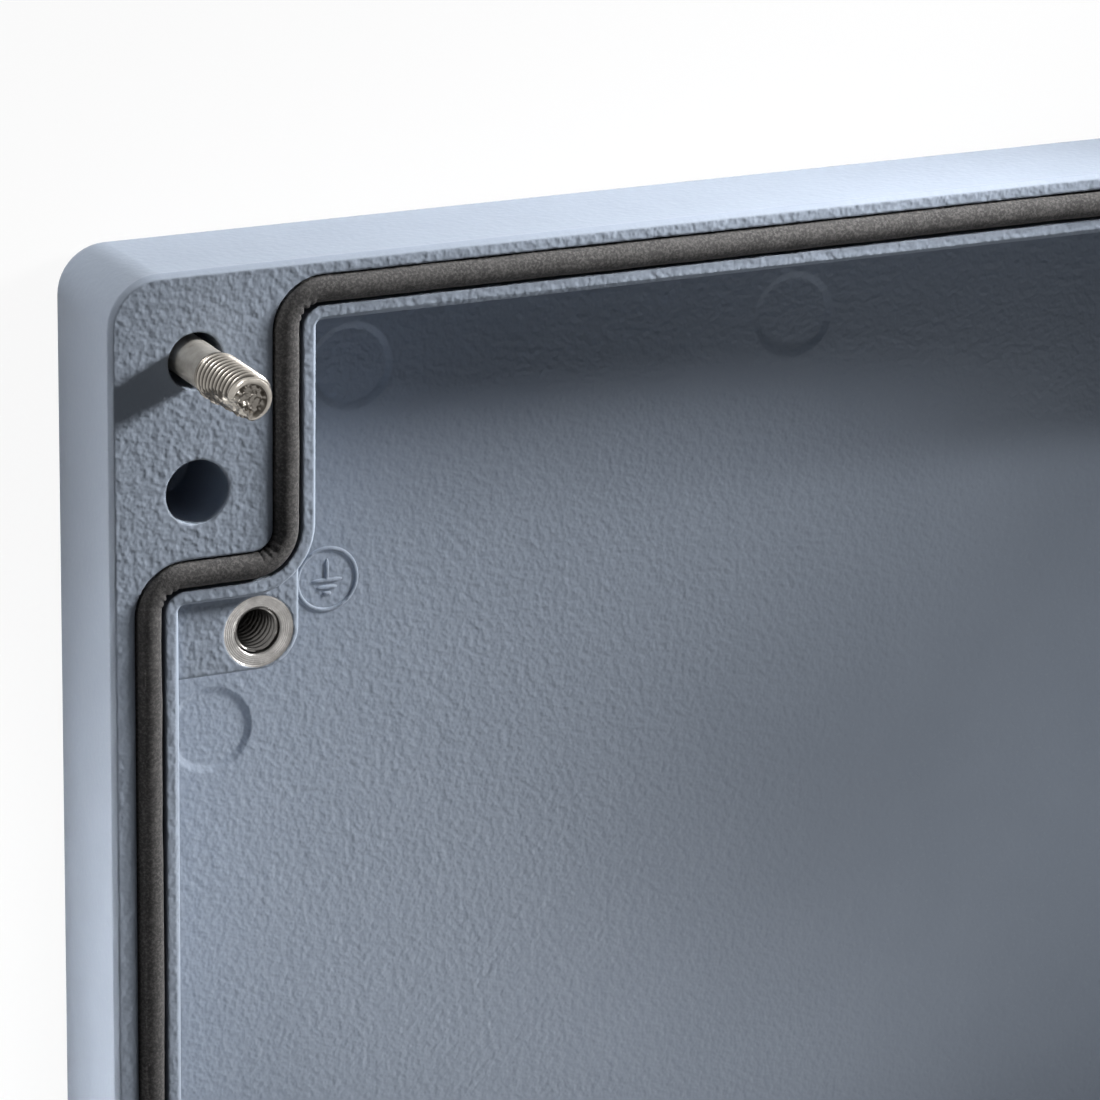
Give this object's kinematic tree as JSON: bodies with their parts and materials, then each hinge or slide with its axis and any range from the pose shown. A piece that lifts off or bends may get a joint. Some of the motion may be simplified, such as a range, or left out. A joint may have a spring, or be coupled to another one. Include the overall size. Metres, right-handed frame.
{
  "type": "die cast enclosure cover",
  "caption": "Cover of a powder coated die cast aluminium enclosure, inner side up: lipped seal groove with gasket, corner blocks with captive screws, and a tapped earth boss.",
  "frame": {"origin": "middle of the outer face, which the cover lies on", "axes": "+X across the cover, +Y along it, +Z from the outer face towards the rim and the inner side"},
  "size_m": [0.202, 0.232, 0.0374],
  "materials": {
    "powder_coated_casting": "blue-grey coarse structure powder coat",
    "gasket_foam": "dark grey closed-cell foam rubber cord with a matt skin",
    "stainless_steel": "plain stainless steel, turned and rolled",
    "retaining_washer_plastic": "black polyamide",
    "faced_aluminium": "bare faced and tapped aluminium of the earth boss"
  },
  "bodies": {
    "cover": {"cover": "powder_coated_casting", "gasket": "gasket_foam", "retaining_washer_1": "retaining_washer_plastic", "retaining_washer_2": "retaining_washer_plastic", "retaining_washer_3": "retaining_washer_plastic", "retaining_washer_4": "retaining_washer_plastic"},
    "washer_1": {"head_washer_1": "stainless_steel"},
    "screw_1": {"cover_screw_1": "stainless_steel"},
    "washer_2": {"head_washer_2": "stainless_steel"},
    "screw_2": {"cover_screw_2": "stainless_steel"},
    "washer_3": {"head_washer_3": "stainless_steel"},
    "screw_3": {"cover_screw_3": "stainless_steel"},
    "washer_4": {"head_washer_4": "stainless_steel"},
    "screw_4": {"cover_screw_4": "stainless_steel"}
  },
  "joints": [
    {"name": "screw_1_travel", "type": "slide", "parent": "cover", "child": "washer_1", "axis": [0, 0, -1], "range_m": [0, 0.009]},
    {"name": "screw_1_turn", "type": "hinge", "parent": "washer_1", "child": "screw_1", "pos_m": [-0.0899, 0.1049, 0.0064], "axis": [0, 0, 1], "continuous": true},
    {"name": "screw_2_travel", "type": "slide", "parent": "cover", "child": "washer_2", "axis": [0, 0, -1], "range_m": [0, 0.009]},
    {"name": "screw_2_turn", "type": "hinge", "parent": "washer_2", "child": "screw_2", "pos_m": [0.0899, 0.1049, 0.0064], "axis": [0, 0, 1], "continuous": true},
    {"name": "screw_3_travel", "type": "slide", "parent": "cover", "child": "washer_3", "axis": [0, 0, -1], "range_m": [0, 0.009]},
    {"name": "screw_3_turn", "type": "hinge", "parent": "washer_3", "child": "screw_3", "pos_m": [0.0899, -0.1049, 0.0064], "axis": [0, 0, 1], "continuous": true},
    {"name": "screw_4_travel", "type": "slide", "parent": "cover", "child": "washer_4", "axis": [0, 0, -1], "range_m": [0, 0.009]},
    {"name": "screw_4_turn", "type": "hinge", "parent": "washer_4", "child": "screw_4", "pos_m": [-0.0899, -0.1049, 0.0064], "axis": [0, 0, 1], "continuous": true}
  ]
}
